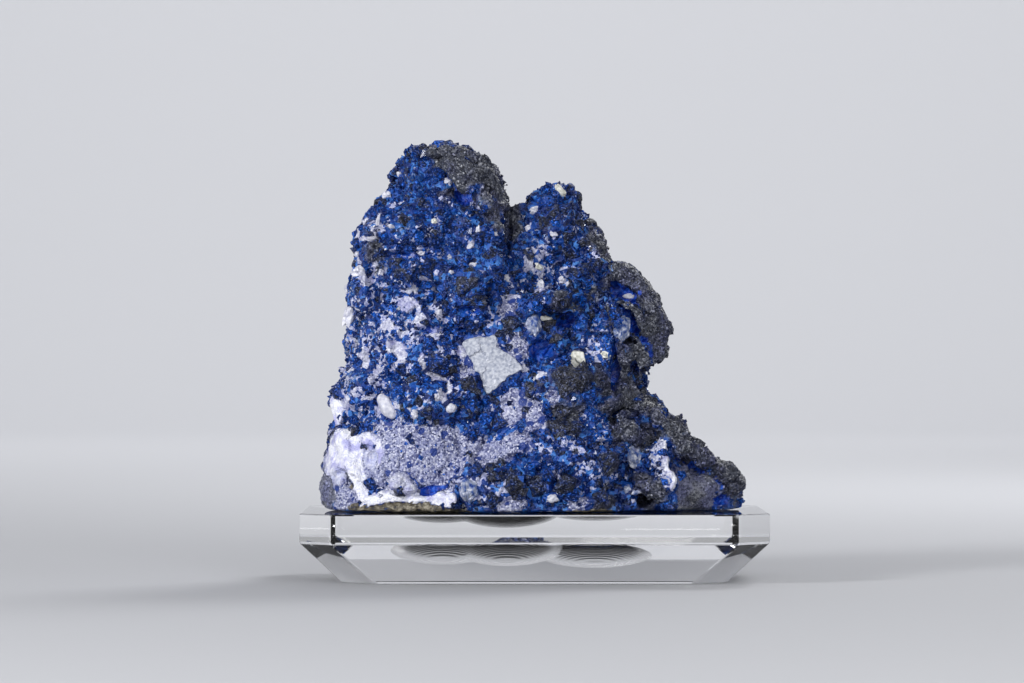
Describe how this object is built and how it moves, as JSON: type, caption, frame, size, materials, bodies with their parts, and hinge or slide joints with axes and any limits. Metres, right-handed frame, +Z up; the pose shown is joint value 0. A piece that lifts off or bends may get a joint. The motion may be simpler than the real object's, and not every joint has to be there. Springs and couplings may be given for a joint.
{
  "type": "fluorite mineral specimen on a clear stand",
  "caption": "Twin-peaked lump of dark blue octahedral fluorite crystals grown on white granular quartz, seated in a shallow pocket of a bevelled clear acrylic stand.",
  "frame": {"origin": "centre of the stand's flat underside", "axes": "+Z up, +X along the stand's length, towards the specimen's low foot; the specimen's show side faces -Y"},
  "size_m": [0.152, 0.096, 0.1448],
  "materials": {
    "crystal_rock": "glassy deep blue crystals, many with frosted dark grey faces, on white sugary quartz",
    "clear_acrylic": "polished clear acrylic, with fine milling marks in the pocket"
  },
  "bodies": {
    "root": {"fluorite_specimen": "crystal_rock", "acrylic_stand": "clear_acrylic"}
  },
  "joints": []
}
